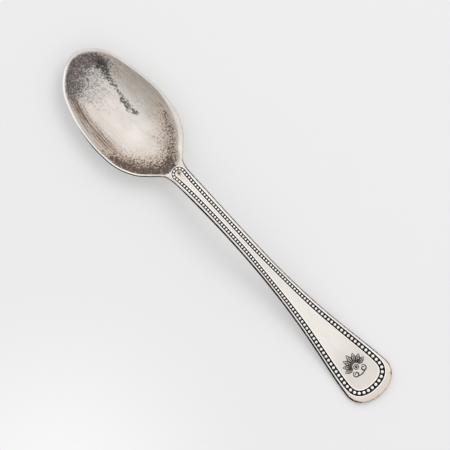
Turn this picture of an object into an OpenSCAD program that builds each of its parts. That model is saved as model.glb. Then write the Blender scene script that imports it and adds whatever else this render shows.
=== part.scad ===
// Table spoon with an oval bowl and a beaded handle, in old silver-plated metal.
// It lies bowl up on the XY plane. +X runs from the bowl to the handle's end and +Z is up.
// The origin is on the resting plane, midway between the bowl's tip and the handle's end.

/* [Overall] */
// Length from the bowl's tip to the handle's end
spoon_l = 180; // [165:1:200]

/* [Bowl] */
// Length from the tip to the plane where the bowl meets the handle
bowl_l = 58; // [54:0.5:62]
// Width across the rim at its widest
bowl_w = 34.7; // [31:0.1:38]
// Width of the flat top of the rim
rim_w = 0.9; // [0.6:0.1:1.4]
// Thickness of the rim's edge
rim_t = 1; // [0.8:0.1:1.4]
// Thickness of the metal at the deepest point
floor_t = 1; // [0.8:0.1:1.5]
// How far wear has pushed the tip to one side
tip_wear = 1.5; // [0:0.1:2]

/* [Handle] */
// Width of the stem where it is slimmest
stem_w = 6.8; // [5.5:0.1:8]
// Width of the handle at its broad end
end_w = 21.1; // [19:0.1:23]
// Length of the rounded end beyond the widest point
end_l = 8.4; // [7:0.1:10]
// How square the rounded end is, where 2 is an ellipse
end_square = 2.15; // [2:0.05:2.6]

/* [Beaded channel] */
// Depth of the channel at the neck
channel_d_neck = 0.5; // [0.3:0.05:0.6]
// Depth of the channel at the broad end
channel_d_end = 0.68; // [0.4:0.02:0.8]
// Gap between a bead and the channel's walls at the neck
bead_gap_neck = 0.25; // [0.1:0.01:0.3]
// The same gap at the broad end
bead_gap_end = 0.37; // [0.15:0.01:0.42]
// Diameter of a bead as a share of the bead spacing
bead_fill = 0.76; // [0.6:0.01:0.85]
// Thickness of the black tarnish on the channel's floor
patina_t = 0.08; // [0.05:0.01:0.15]
// Beads on each side of the axis in the arc round the neck
neck_beads = 3; // [2:1:4]
// Beads on each side of the axis in the arc round the broad end
end_beads = 5; // [4:1:6]

/* [Engraved ornament] */
// Length of the middle leaf of the palmette
leaf_l = 4.6; // [4:0.1:5]
// Number of leaves
leaf_n = 7; // [5:2:7]
// Width of an engraved line
line_w = 0.24; // [0.16:0.02:0.3]
// Depth of the engraving
line_d = 0.15; // [0.1:0.01:0.2]

/* [Hidden] */

silver = [0.80, 0.76, 0.71];
worn_silver = [0.66, 0.61, 0.56];
bright_silver = [0.95, 0.94, 0.91];
tarnish = [0.09, 0.08, 0.07];

x_tip = -spoon_l / 2;
x_joint = x_tip + bowl_l;
x_end = spoon_l / 2;
x_shoulder = x_end - end_l;
handle_l = x_shoulder - x_joint;
clear = 5; // how far a cutting shape runs past what it cuts

// Height of the top edge, against the position in shares of half the length
top_line = [[-1.033, 9.7], [-1, 9.4], [-0.833, 8.8], [-0.633, 8.7], [-0.478, 9.4],
    [-0.356, 11], [-0.256, 14], [-0.144, 16], [-0.033, 16.7], [0.1, 15.8], [0.267, 12.4],
    [0.444, 8.6], [0.611, 5.3], [0.733, 3.1], [0.811, 2.15], [0.889, 1.85], [0.944, 2.2],
    [1, 2.9], [1.033, 3.5]];
// Thickness of the handle, against the share of its length
handle_t = [[-0.03, 2.6], [0, 2.7], [0.105, 3.2], [0.3, 3.2], [0.545, 2.8], [0.81, 2.3],
    [0.94, 2.1], [1.074, 1.6], [1.1, 1.5]];

// Outline of the bowl, from the tip to the joint, as shares of its length and half width
bowl_outline = [[0, 0], [0.041, 0.37], [0.138, 0.675], [0.276, 0.85], [0.448, 0.967],
    [0.603, 1], [0.759, 0.94], [0.879, 0.76], [0.948, 0.56], [1, 0.37]];
// Half width of the handle: 0 is the stem's and 1 the broad end's, against the share of its length
handle_outline = [[-0.02, 0.67], [0, 0.434], [0.0123, 0.24], [0.03, 0.125], [0.055, 0.062],
    [0.158, 0.022], [0.282, 0], [0.405, 0.016], [0.51, 0.07], [0.616, 0.186], [0.722, 0.364],
    [0.81, 0.562], [0.898, 0.788], [0.96, 0.932], [1, 1], [1.03, 1.01]];
// Distance of the bead row from the axis, as a share of the handle's half width
bead_line = [[0.02, 0.55], [0.0405, 0.54], [0.063, 0.503], [0.115, 0.45], [0.185, 0.425],
    [0.282, 0.428], [0.405, 0.445], [0.5, 0.538], [0.6, 0.593], [0.7, 0.651], [0.8, 0.723],
    [0.9, 0.763], [0.96, 0.77], [0.9824, 0.758], [1.01, 0.75]];
// Spacing of the beads, against the share of the handle's length
bead_pitch = [[-0.1, 1.31], [0, 1.31], [0.3, 1.31], [0.59, 1.34], [0.7, 1.58], [0.85, 1.78],
    [1, 1.9], [1.1, 1.92]];

// Slope of a smooth curve at station i of a list of [position, value]
function slope(s, i) = (s[i + 1][1] - s[i - 1][1]) / (s[i + 1][0] - s[i - 1][0]);
// Number of the station just before x
function before(s, x, i = 1) = i >= len(s) - 3 || x < s[i + 1][0] ? i : before(s, x, i + 1);
// Value at x of the smooth curve through the stations; the first and last only set its ends' slope
function curve(s, x) = let (
        i = before(s, x),
        w = s[i + 1][0] - s[i][0],
        u = (x - s[i][0]) / w
    )
    (1 + 2 * u) * pow(1 - u, 2) * s[i][1] + u * pow(1 - u, 2) * w * slope(s, i)
    + u * u * (3 - 2 * u) * s[i + 1][1] - u * u * (1 - u) * w * slope(s, i + 1);
// Smooth step from 0 to 1 as x goes from a to b
function ease(a, b, x) = let (u = min(1, max(0, (x - a) / (b - a)))) u * u * (3 - 2 * u);
function share(x) = (x - x_joint) / handle_l;
function mirrored(points) = [for (i = [len(points) - 1:-1:0]) [points[i].x, -points[i].y]];

function top(x) = curve(top_line, x / x_end);
function underside(x) = max(0, top(x) - curve(handle_t, share(x)));
function top_angle(x) = atan((top(x + 0.1) - top(x - 0.1)) / 0.2);
function handle_half(x) = stem_w / 2 + (end_w - stem_w) / 2 * curve(handle_outline, share(x));
function channel_d(x) = channel_d_neck
    + (channel_d_end - channel_d_neck) * ease(0.5, 1, share(x));
function pitch(x) = curve(bead_pitch, share(x));
function bead_r(x) = pitch(x) * bead_fill / 2;
function channel_half(x) = bead_r(x) + bead_gap_neck
    + (bead_gap_end - bead_gap_neck) * ease(0.5, 1, share(x));
// Quarter of a rounded end, from its side at angle 90 to its tip at angle 0
function cap_point(x, a, b, n, angle) =
    [x + a * pow(cos(angle), 2 / n), b * pow(sin(angle), 2 / n)];

// ---- Bowl: a closed shell of rings, from the deepest point out to the rim and back beneath

ring_n = 9; // rings from the deepest point to the rim
side_n = 4; // outline points between two stations
joint_n = 4; // outline points along half of the joint
deepest = [x_tip + 0.57 * bowl_l, 0];
hollow_power = 2.2; // how steeply the hollow climbs to the rim
belly_power = 2.1; // the same for the outside
belly_flat = 0.12; // how much of the belly is worn away where it rests
tip_wear_l = 26; // length of bowl that the wear at the tip bends
thicken_l = 15; // length over which the bowl's edge thickens towards the handle
past_joint = 0.0123 * handle_l; // place beyond the joint that gives the outline its slope there

function bowl_station(i) = i < 0
    ? [x_tip + bowl_outline[-i][0] * bowl_l, -bowl_outline[-i][1] * bowl_w / 2]
    : i < len(bowl_outline)
    ? [x_tip + bowl_outline[i][0] * bowl_l, bowl_outline[i][1] * bowl_w / 2]
    : [x_joint + past_joint, handle_half(x_joint + past_joint)];
// Point of a smooth curve through four stations, between the middle two
function through(a, b, c, d, u) =
    0.5 * (2 * b + (c - a) * u + (2 * a - 5 * b + 4 * c - d) * u * u
    + (3 * b - a - 3 * c + d) * u * u * u);
function leaned(p) = [p.x, p.y + tip_wear * pow(max(0, 1 - (p.x - x_tip) / tip_wear_l), 2)];

bowl_side = [for (i = [0:len(bowl_outline) - 2]) for (k = [0:side_n - 1])
    through(bowl_station(i - 1), bowl_station(i), bowl_station(i + 1), bowl_station(i + 2),
        k / side_n)];
joint_half = handle_half(x_joint);
joint_edge = [for (k = [0:joint_n - 1]) [x_joint, joint_half * (1 - k / joint_n)]];
bowl_half = concat(bowl_side, joint_edge);
rim_points = [for (p = concat(bowl_half, [[x_joint, 0]],
    [for (i = [len(bowl_half) - 1:-1:1]) [bowl_half[i].x, -bowl_half[i].y]])) leaned(p)];

function edge_t(x) = rim_t
    + (curve(handle_t, 0) - rim_t) * ease(x_joint - thicken_l, x_joint, x);
function hollow_ring(s) = [for (p = rim_points) let (
        out = p - deepest,
        flat = deepest + out * s * (1 - rim_w / norm(out))
    )
    [flat.x, flat.y, floor_t + (top(p.x) - floor_t) * pow(s, hollow_power)]];
function belly_ring(s) = [for (p = rim_points) let (flat = deepest + (p - deepest) * s)
    [flat.x, flat.y, max(0, (top(p.x) - edge_t(p.x) + belly_flat) * pow(s, belly_power)
        - belly_flat)]];
function rim_ring() = [for (p = rim_points) [p.x, p.y, top(p.x)]];

module bowl() {
    rings = concat([for (k = [1:ring_n]) hollow_ring(k / ring_n)], [rim_ring()],
        [for (k = [ring_n:-1:1]) belly_ring(k / ring_n)]);
    n = len(rim_points);
    last = len(rings) - 1;
    points = concat([for (r = rings) each r],
        [[deepest.x, deepest.y, floor_t], [deepest.x, deepest.y, 0]]);
    top_centre = len(points) - 2;
    under_centre = len(points) - 1;
    faces = concat(
        [for (i = [0:n - 1]) [top_centre, i, (i + 1) % n]],
        [for (r = [0:last - 1]) for (i = [0:n - 1])
            [r * n + i, (r + 1) * n + i, (r + 1) * n + (i + 1) % n]],
        [for (r = [0:last - 1]) for (i = [0:n - 1])
            [r * n + i, (r + 1) * n + (i + 1) % n, r * n + (i + 1) % n]],
        [for (i = [0:n - 1]) [under_centre, last * n + (i + 1) % n, last * n + i]]);
    color(worn_silver) polyhedron(points, faces);
}

// ---- Handle: its outline seen from above, cut to its profile seen from the side

handle_n = 48; // points along one side
handle_crowd = 1.25; // how much closer together they are at the neck
cap_n = 14; // points round half of the broad end
profile_n = 60; // points along the profile

function handle_side() = concat(
    [for (i = [0:handle_n - 1]) let (x = x_joint + handle_l * pow(i / handle_n, handle_crowd))
        [x, handle_half(x)]],
    [for (i = [0:cap_n])
        cap_point(x_shoulder, end_l, end_w / 2, end_square, 90 * (1 - i / cap_n))]);
function profile_x(x0, x1, n) = [for (i = [0:n]) x0 + (x1 - x0) * i / n];

// Slab across the whole width, between heights lo(x) and hi(x)
module layer(lo, hi, x0, x1, n) {
    xs = profile_x(x0, x1, n);
    rotate([90, 0, 0])
        linear_extrude(end_w + 2 * clear, center = true)
            polygon(concat([for (x = xs) [x, lo(x)]],
                [for (i = [n:-1:0]) [xs[i], hi(xs[i])]]));
}

module handle() {
    side = handle_side();
    color(silver) difference() {
        intersection() {
            linear_extrude(2 * top(0)) polygon(concat(side, mirrored(side)));
            layer(function (x) underside(x), function (x) top(x), x_joint, x_end, profile_n);
        }
        channel(function (x) top(x) - channel_d(x), function (x) top(x) + clear);
        ornament(function (x) top(x) - line_d, function (x) top(x) + clear);
    }
}

// ---- Beaded channel: a closed loop round the handle's panel

neck_x = x_joint + 0.0405 * handle_l; // centre of the arc round the neck
cap_x = x_joint + 0.9824 * handle_l; // where the arc round the broad end begins
cap_border = 4.25; // plain border beyond the bead line at the broad end
cap_square = 2.35; // how square the bead line is there, where 2 is an ellipse
row_n = 44; // points along one row
neck_n = 7; // points round half of the neck
round_n = 14; // points round half of the broad end

function bead_half(x) = handle_half(x) * curve(bead_line, share(x));
// Half of the bead line, from the neck to the broad end
bead_path = concat(
    [for (i = [0:neck_n - 1])
        [neck_x, 0] + bead_half(neck_x) * [-cos(90 * i / neck_n), sin(90 * i / neck_n)]],
    [for (i = [0:row_n - 1]) let (x = neck_x + (cap_x - neck_x) * i / row_n)
        [x, bead_half(x)]],
    [for (i = [0:round_n]) cap_point(cap_x, x_end - cap_border - cap_x, bead_half(cap_x),
        cap_square, 90 * (1 - i / round_n))]);
path_last = len(bead_path) - 1;
// Number of beads from the neck up to each point of the path
bead_count = [for (i = 0, c = 0; i <= path_last;
    c = c + (i < path_last ? norm(bead_path[i + 1] - bead_path[i]) / pitch(bead_path[i].x) : 0),
    i = i + 1) c];
half_beads = round(bead_count[path_last]);
count_scale = half_beads / bead_count[path_last];
count_x = [for (i = [0:path_last]) [bead_count[i] * count_scale, bead_path[i].x]];
count_y = [for (i = [0:path_last]) [bead_count[i] * count_scale, bead_path[i].y]];

// The bead path moved sideways by the channel's half width, to its outer or inner wall
function wall(side) = [for (i = [0:path_last]) let (
        a = i == 0 ? [bead_path[1].x, -bead_path[1].y] : bead_path[i - 1],
        b = i == path_last ? [bead_path[i - 1].x, -bead_path[i - 1].y] : bead_path[i + 1],
        along = (b - a) / norm(b - a)
    )
    bead_path[i] + side * channel_half(bead_path[i].x) * [-along.y, along.x]];
function loop(half) = concat(half, [for (i = [len(half) - 2:-1:1]) [half[i].x, -half[i].y]]);

// The channel's space, between heights lo(x) and hi(x)
module channel(lo, hi) {
    intersection() {
        linear_extrude(4 * top(0)) difference() {
            polygon(loop(wall(1)));
            polygon(loop(wall(-1)));
        }
        layer(lo, hi, x_joint, x_end, profile_n);
    }
}

module channel_patina() {
    color(tarnish) channel(function (x) top(x) - channel_d(x),
        function (x) top(x) - channel_d(x) + patina_t);
}

// Half ball with its flat side down
module dome(r) {
    rotate_extrude($fn = 48) intersection() {
        circle(r, $fn = 48);
        square(r);
    }
}

// Beads first to last of the half path, on the side of the axis that side gives
module beads(first, last, side) {
    color(bright_silver) for (k = [first:last]) {
        x = lookup(k + 0.5, count_x);
        y = lookup(k + 0.5, count_y);
        translate([x, side * y, top(x) - channel_d(x) + patina_t])
            rotate([0, -top_angle(x), 0])
                dome(bead_r(x));
    }
}

module bead_arc_neck() {
    for (side = [-1, 1]) beads(0, neck_beads - 1, side);
}
module bead_row_left() {
    beads(neck_beads, half_beads - end_beads - 1, 1);
}
module bead_row_right() {
    beads(neck_beads, half_beads - end_beads - 1, -1);
}
module bead_arc_end() {
    for (side = [-1, 1]) beads(half_beads - end_beads, half_beads - 1, side);
}

// ---- Engraved ornament: a plain palmette, opening towards the bowl

palmette_x = x_end - 14.6; // root of the leaves
leaf_step = 26; // angle between leaves
leaf_start = 1.5; // distance of a leaf's foot from the root
leaf_w = leaf_l * 0.35;
leaf_shrink = 0.08; // share of the length that each leaf loses against its inner neighbour
disc_r = 0.8;
scroll_r = 1.35;
scroll_at = [2.2, 1.85]; // centre of the scroll on the left
tie_x = 3.6; // middle of the curved bar that ties the scrolls
tie_r = 4.2;
tie_l = 4.4;

// Pointed oval of length l and width w along +X, with its foot at the origin
module leaf(l, w) {
    r = (l * l + w * w) / (4 * w);
    intersection() {
        translate([l / 2, r - w / 2]) circle(r, $fn = 64);
        translate([l / 2, w / 2 - r]) circle(r, $fn = 64);
    }
}
module leaf_line(l, w) {
    difference() {
        leaf(l, w);
        translate([line_w * 1.6, 0]) leaf(l - 3.2 * line_w, w - 2 * line_w);
    }
}
module ring(r) {
    difference() {
        circle(r, $fn = 64);
        circle(r - line_w, $fn = 64);
    }
}
module tie() {
    intersection() {
        translate([tie_x - tie_r, 0]) ring(tie_r);
        translate([0, -tie_l / 2]) square([tie_r, tie_l]);
    }
}

module palmette() {
    translate([palmette_x, 0]) {
        for (k = [-(leaf_n - 1) / 2:(leaf_n - 1) / 2]) rotate(180 + k * leaf_step)
            translate([leaf_start, 0]) leaf_line(leaf_l * (1 - leaf_shrink * abs(k)), leaf_w);
        circle(disc_r, $fn = 32);
        for (side = [-1, 1]) translate([scroll_at.x, side * scroll_at.y]) ring(scroll_r);
        tie();
    }
}

// The ornament's lines, between heights lo(x) and hi(x)
module ornament(lo, hi) {
    intersection() {
        linear_extrude(4 * top(0)) palmette();
        layer(lo, hi, x_joint, x_end, profile_n);
    }
}

module crest_inlay() {
    color(tarnish) ornament(function (x) top(x) - line_d, function (x) top(x));
}

bowl();
handle();
channel_patina();
bead_row_left();
bead_row_right();
bead_arc_neck();
bead_arc_end();
crest_inlay();
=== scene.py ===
"""An old silver-plated spoon with a beaded handle, lying bowl up on a pale floor.

Shapes are worked out in millimetres, in the part's own frame: +X from the bowl to the handle's
end, +Z up, and the resting plane at zero. Two height functions, upper() and lower(), give the
metal's surfaces at any place in plan, for the bowl and the handle alike.
"""

import math

import bmesh
import bpy
import numpy as np
from mathutils import Matrix, Vector
from mathutils.kdtree import KDTree


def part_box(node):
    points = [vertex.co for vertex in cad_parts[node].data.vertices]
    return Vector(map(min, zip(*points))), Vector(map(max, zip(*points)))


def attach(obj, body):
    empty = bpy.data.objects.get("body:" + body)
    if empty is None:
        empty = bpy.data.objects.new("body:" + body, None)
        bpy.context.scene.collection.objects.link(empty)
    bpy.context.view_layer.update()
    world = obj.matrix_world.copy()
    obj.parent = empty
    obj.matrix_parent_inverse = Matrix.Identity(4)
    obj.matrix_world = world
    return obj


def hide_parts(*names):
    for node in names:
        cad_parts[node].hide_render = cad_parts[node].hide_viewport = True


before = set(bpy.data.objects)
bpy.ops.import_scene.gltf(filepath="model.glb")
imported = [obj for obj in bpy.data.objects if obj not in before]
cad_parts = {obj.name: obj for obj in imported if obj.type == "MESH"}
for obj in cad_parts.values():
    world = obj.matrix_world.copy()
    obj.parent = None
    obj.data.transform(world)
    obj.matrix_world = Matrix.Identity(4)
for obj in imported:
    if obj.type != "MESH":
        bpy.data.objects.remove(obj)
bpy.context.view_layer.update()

MM = 0.001

# ---------------------------------------------------------------- sizes, in millimetres

bowl_low, bowl_high = (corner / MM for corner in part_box("bowl"))
handle_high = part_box("handle")[1] / MM

X_TIP = bowl_low.x
X_JOINT = bowl_high.x
X_END = handle_high.x
BOWL_HALF = 17.338
END_HALF = handle_high.y
STEM_HALF = 3.4
END_L = 8.4
X_SHOULDER = X_END - END_L
HANDLE_L = X_SHOULDER - X_JOINT
BOWL_L = X_JOINT - X_TIP
TIP_WEAR = 1.5  # how far wear has pushed the tip to one side
TIP_WEAR_L = 26  # length of bowl that this wear bends
PAST_JOINT = 0.0123 * HANDLE_L  # place beyond the joint that gives the outline its slope there
FLOOR_T = 1.0
RIM_T = 1.0
JOINT_T = 2.7
THICKEN_L = 15  # length over which the bowl's edge thickens towards the handle
HOLLOW_POWER = 2.2  # how steeply the hollow climbs to the rim
BELLY_POWER = 2.1
BELLY_FLAT = 0.12  # how much of the belly is worn away where it rests
ROUND_POWER = 2.3  # how square the rounding beneath the edges is, where 2 is an ellipse
DEEPEST = np.array([X_TIP + 0.57 * BOWL_L, 0.0])

TOP_LINE = [(-1.033, 9.7), (-1, 9.4), (-0.833, 8.8), (-0.633, 8.7), (-0.478, 9.4),
            (-0.356, 11), (-0.256, 14), (-0.144, 16), (-0.033, 16.7), (0.1, 15.8),
            (0.267, 12.4), (0.444, 8.6), (0.611, 5.3), (0.733, 3.1), (0.811, 2.15),
            (0.889, 1.85), (0.944, 2.2), (1, 2.9), (1.033, 3.5)]
THICKNESS = [(-0.03, 2.6), (0, 2.7), (0.105, 3.2), (0.3, 3.2), (0.545, 2.8), (0.81, 2.3),
             (0.94, 2.1), (1.074, 1.6), (1.1, 1.5)]
BOWL_OUTLINE = [(0, 0), (0.041, 0.37), (0.138, 0.675), (0.276, 0.85), (0.448, 0.967),
                (0.603, 1), (0.759, 0.94), (0.879, 0.76), (0.948, 0.56), (1, 0.375)]
HANDLE_OUTLINE = [(-0.02, 0.67), (0, 0.434), (0.0123, 0.24), (0.03, 0.125), (0.055, 0.062),
                  (0.158, 0.022), (0.282, 0), (0.405, 0.016), (0.51, 0.07), (0.616, 0.186),
                  (0.722, 0.364), (0.81, 0.562), (0.898, 0.788), (0.96, 0.932), (1, 1),
                  (1.03, 1.01)]
BEAD_LINE = [(0.02, 0.55), (0.0405, 0.54), (0.063, 0.503), (0.115, 0.45), (0.185, 0.425),
             (0.282, 0.428), (0.405, 0.445), (0.5, 0.538), (0.6, 0.593), (0.7, 0.651),
             (0.8, 0.723), (0.9, 0.763), (0.96, 0.77), (0.9824, 0.758), (1.01, 0.75)]
BEAD_PITCH = [(-0.1, 1.31), (0, 1.31), (0.3, 1.31), (0.59, 1.34), (0.7, 1.58), (0.85, 1.78),
              (1, 1.9), (1.1, 1.92)]
# Edges of the metal, against x: drop from the top to the widest line, and the two roundings
EDGE_DROP = [(-95, 0.5), (-90, 0.5), (-48, 0.5), (-32, 0.85), (0, 0.9), (60, 0.8),
             (92, 0.65), (95, 0.6)]
TOP_ROUND = [(-95, 0.6), (-90, 0.6), (-48, 0.6), (-32, 0.9), (0, 1.15), (60, 1.15),
             (92, 1.3), (95, 1.3)]
UNDER_ROUND = [(-95, 0.6), (-90, 0.6), (-48, 0.7), (-32, 2.4), (0, 2.5), (60, 2.0),
               (92, 1.5), (95, 1.5)]
CAP_BORDER = 4.25  # plain border beyond the bead line at the broad end
CAP_SQUARE = 2.35
END_SQUARE = 2.15
CHANNEL_D_NECK, CHANNEL_D_END = 0.5, 0.68
BEAD_GAP_NECK, BEAD_GAP_END = 0.25, 0.37
BEAD_FILL = 0.76  # diameter of a bead as a share of the spacing
HALF_BEADS = 84  # beads on each side of the axis
NECK_BEADS = 3  # of those, the ones in the arc round the neck
END_BEADS = 5  # and in the arc round the broad end
BEAD_SQUARE = 2.5
BEAD_CROWN = 0.6  # share of a bead's height that is its crown
PATINA_T = 0.08
RIDGE_W = 0.42  # raised lip on each side of the channel
RIDGE_H = 0.06
EDGE_BAND = 0.8  # width of the handle's edge that has close rings of points
ON_EDGE = 0.0015  # points nearer to the outline than this lie on it


# ---------------------------------------------------------------- curves and height functions

def curve(stations, x):
    """Smooth curve through the stations; the first and the last only set its slope there."""
    s = np.array(stations, float)
    x = np.asarray(x, float)
    slope = np.zeros(len(s))
    slope[1:-1] = (s[2:, 1] - s[:-2, 1]) / (s[2:, 0] - s[:-2, 0])
    i = np.clip(np.searchsorted(s[:, 0], x, side="right") - 1, 1, len(s) - 3)
    w = s[i + 1, 0] - s[i, 0]
    u = (x - s[i, 0]) / w
    return ((1 + 2 * u) * (1 - u) ** 2 * s[i, 1] + u * (1 - u) ** 2 * w * slope[i]
            + u * u * (3 - 2 * u) * s[i + 1, 1] - u * u * (1 - u) * w * slope[i + 1])


def ease(a, b, x):
    u = np.clip((np.asarray(x, float) - a) / (b - a), 0, 1)
    return u * u * (3 - 2 * u)


def smooth_min(a, b, k):
    h = np.clip(0.5 + 0.5 * (b - a) / k, 0, 1)
    return b + (a - b) * h - k * h * (1 - h)


def share(x):
    return (np.asarray(x, float) - X_JOINT) / HANDLE_L


def top(x):
    return curve(TOP_LINE, np.asarray(x, float) / X_END)


def thickness(x):
    return curve(THICKNESS, share(x))


def handle_half(x):
    return STEM_HALF + (END_HALF - STEM_HALF) * curve(HANDLE_OUTLINE, share(x))


def pitch(x):
    return curve(BEAD_PITCH, share(x))


def channel_half(x):
    widening = (BEAD_GAP_END - BEAD_GAP_NECK) * ease(0.5, 1, share(x))
    return pitch(x) * BEAD_FILL / 2 + BEAD_GAP_NECK + widening


def channel_depth(x):
    return CHANNEL_D_NECK + (CHANNEL_D_END - CHANNEL_D_NECK) * ease(0.5, 1, share(x))


def cap_point(x, a, b, square, degrees):
    t = np.radians(degrees)
    return np.stack([x + a * np.cos(t).clip(0) ** (2 / square),
                     b * np.sin(t).clip(0) ** (2 / square)], -1)


def spline(points, per_span):
    """Catmull-Rom curve; the first and last points only set the ends' direction."""
    p = np.array(points, float)
    u = np.arange(per_span)[:, None] / per_span
    spans = [0.5 * (2 * b + (c - a) * u + (2 * a - 5 * b + 4 * c - d) * u ** 2
                    + (3 * b - a - 3 * c + d) * u ** 3)
             for a, b, c, d in zip(p[:-3], p[1:-2], p[2:-1], p[3:])]
    return np.concatenate(spans + [p[-2:-1]])


def resample(line, n):
    """n + 1 points at equal steps along a polyline."""
    length = np.concatenate([[0], np.cumsum(np.linalg.norm(np.diff(line, axis=0), axis=1))])
    at = np.linspace(0, length[-1], n + 1)
    return np.stack([np.interp(at, length, line[:, k]) for k in range(2)], -1)


def leaned(p):
    """The tip's outline, worn to one side."""
    shift = TIP_WEAR * np.clip(1 - (p[:, 0] - X_TIP) / TIP_WEAR_L, 0, None) ** 2
    return p + np.stack([0 * shift, shift], -1)


def mirrored(p):
    return p * [1, -1]


def bowl_side():
    """Half of the bowl's outline, from the tip to the joint, before its lean."""
    stations = [(X_TIP + a * BOWL_L, b * BOWL_HALF) for a, b in BOWL_OUTLINE]
    before = (stations[1][0], -stations[1][1])
    after_x = X_JOINT + PAST_JOINT
    return spline([before] + stations + [(after_x, float(handle_half(after_x)))], 24)


def handle_side(n=800):
    """Half of the handle's outline, from the joint to the end's middle."""
    x = X_JOINT + HANDLE_L * np.linspace(0, 1, n, endpoint=False) ** 1.25
    cap = cap_point(X_SHOULDER, END_L, END_HALF, END_SQUARE, np.linspace(90, 0, n // 4))
    return np.concatenate([np.stack([x, handle_half(x)], -1), cap])


left_bowl = leaned(bowl_side())
right_bowl = leaned(mirrored(bowl_side()))
outline = np.concatenate([left_bowl[:-1], handle_side(), mirrored(handle_side())[-2::-1],
                          right_bowl[-2:0:-1]])

outline_tree = KDTree(len(outline))
for index, (px, py) in enumerate(outline):
    outline_tree.insert((px, py, 0), index)
outline_tree.balance()


def edge_distance(x, y):
    """Distance in plan from the spoon's outline, to the two stretches at the nearest point."""
    points = np.stack([np.ravel(x), np.ravel(y)], -1)
    near = np.array([outline_tree.find((px, py, 0))[1] for px, py in points])
    gaps = []
    for start in (near - 1, near):
        a = outline[start % len(outline)]
        run = outline[(start + 1) % len(outline)] - a
        t = (((points - a) * run).sum(-1) / (run ** 2).sum(-1).clip(1e-12)).clip(0, 1)
        gaps.append(np.linalg.norm(points - a - t[:, None] * run, axis=1))
    gap = np.minimum(*gaps).reshape(np.shape(x))
    return np.where(gap < ON_EDGE, 0, gap)


def inset(line, amount):
    """A line moved to its right by an amount at each point."""
    along = np.gradient(line, axis=0)
    along /= np.linalg.norm(along, axis=1)[:, None]
    return line + np.asarray(amount)[..., None] * np.stack([along[:, 1], -along[:, 0]], -1)


def polar(line):
    """(angle, radius, x) of a closed line round the bowl's deepest point, sorted by angle."""
    out = line - DEEPEST
    angle = np.arctan2(out[:, 1], out[:, 0])
    order = np.argsort(angle)
    return angle[order], np.linalg.norm(out, axis=1)[order], line[order, 0]


def polar_at(table, x, y):
    """Radius and x of the line in the direction of each point, and the point's share of it."""
    angle, radius, line_x = table
    theta = np.arctan2(y - DEEPEST[1], x - DEEPEST[0])
    r = np.interp(theta, angle, radius, period=2 * np.pi)
    lx = np.interp(theta, angle, line_x, period=2 * np.pi)
    return np.hypot(x - DEEPEST[0], y - DEEPEST[1]) / r, lx


def hollow_edge():
    """The hollow's closed edge: inside the rim, and across the neck in front of the beads."""
    lines = []
    for side, line in ((1, left_bowl), (-1, right_bowl)):
        rim = line[line[:, 0] < X_JOINT - 1.6]
        heel = ease(-60, -42, rim[:, 0])
        width = 0.75 + (0.1 + 1.15 * heel if side > 0 else 0.12 * heel)
        lines.append(inset(rim, side * width))
    left, right = lines
    neck = [(X_JOINT + 0.5, 4.5), (X_JOINT + 1.4, 3.3), (X_JOINT + 1.65, 2.0),
            (X_JOINT + 1.5, 0), (X_JOINT + 1.7, -2.0), (X_JOINT + 1.7, -3.2),
            (X_JOINT + 0.85, -4.4)]
    closing = spline([left[-12], left[-1]] + neck + [right[-1], right[-12]], 12)
    return np.concatenate([left[1:-1], closing, right[-2:0:-1]])


hollow_table = polar(resample(hollow_edge(), 900))
joint_half = float(handle_half(X_JOINT))
joint_line = np.stack([np.full(41, X_JOINT), np.linspace(joint_half, -joint_half, 41)], -1)
bowl_loop = np.concatenate([left_bowl[:-1], joint_line, right_bowl[-2:0:-1]])
belly_table = polar(bowl_loop)


def upper(x, y):
    """Height of the metal's top surface, without the channel."""
    s, edge_x = polar_at(hollow_table, x, y)
    hollow = FLOOR_T + (top(edge_x) - FLOOR_T) * s ** HOLLOW_POWER
    in_bowl = x < X_JOINT + 3
    plain = top(x)
    body = np.where(in_bowl, smooth_min(plain, hollow, 0.12), plain)
    d = edge_distance(x, y)
    u = 1 - np.clip(d / curve(TOP_ROUND, x), 0, 1)
    return body - curve(EDGE_DROP, x) * (1 - np.sqrt(1 - u ** 2))


def lower(x, y):
    """Height of the metal's underside."""
    s, edge_x = polar_at(belly_table, x, y)
    edge_t = RIM_T + (JOINT_T - RIM_T) * ease(X_JOINT - THICKEN_L, X_JOINT, edge_x)
    belly = (top(edge_x) - edge_t + BELLY_FLAT) * s ** BELLY_POWER - BELLY_FLAT
    stem = top(x) - thickness(np.maximum(x, X_JOINT - 3))
    body = np.where(x < X_JOINT + 4, smooth_min(belly, stem, 1.0), stem)
    body = np.maximum(body, 0)
    widest = top(x) - curve(EDGE_DROP, x)
    u = 1 - np.clip(edge_distance(x, y) / curve(UNDER_ROUND, x), 0, 1)
    rounding = (1 - u ** ROUND_POWER) ** (1 / ROUND_POWER)
    return widest - (widest - np.minimum(body, widest)) * rounding


# ---------------------------------------------------------------- mesh building

def grid(rows, cols, first=0, wrap=False):
    """Quads between consecutive rows of points; wrap joins each row's end to its start."""
    last = cols if wrap else cols - 1
    return [(first + r * cols + c, first + r * cols + (c + 1) % cols,
             first + (r + 1) * cols + (c + 1) % cols, first + (r + 1) * cols + c)
            for r in range(rows - 1) for c in range(last)]


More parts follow.
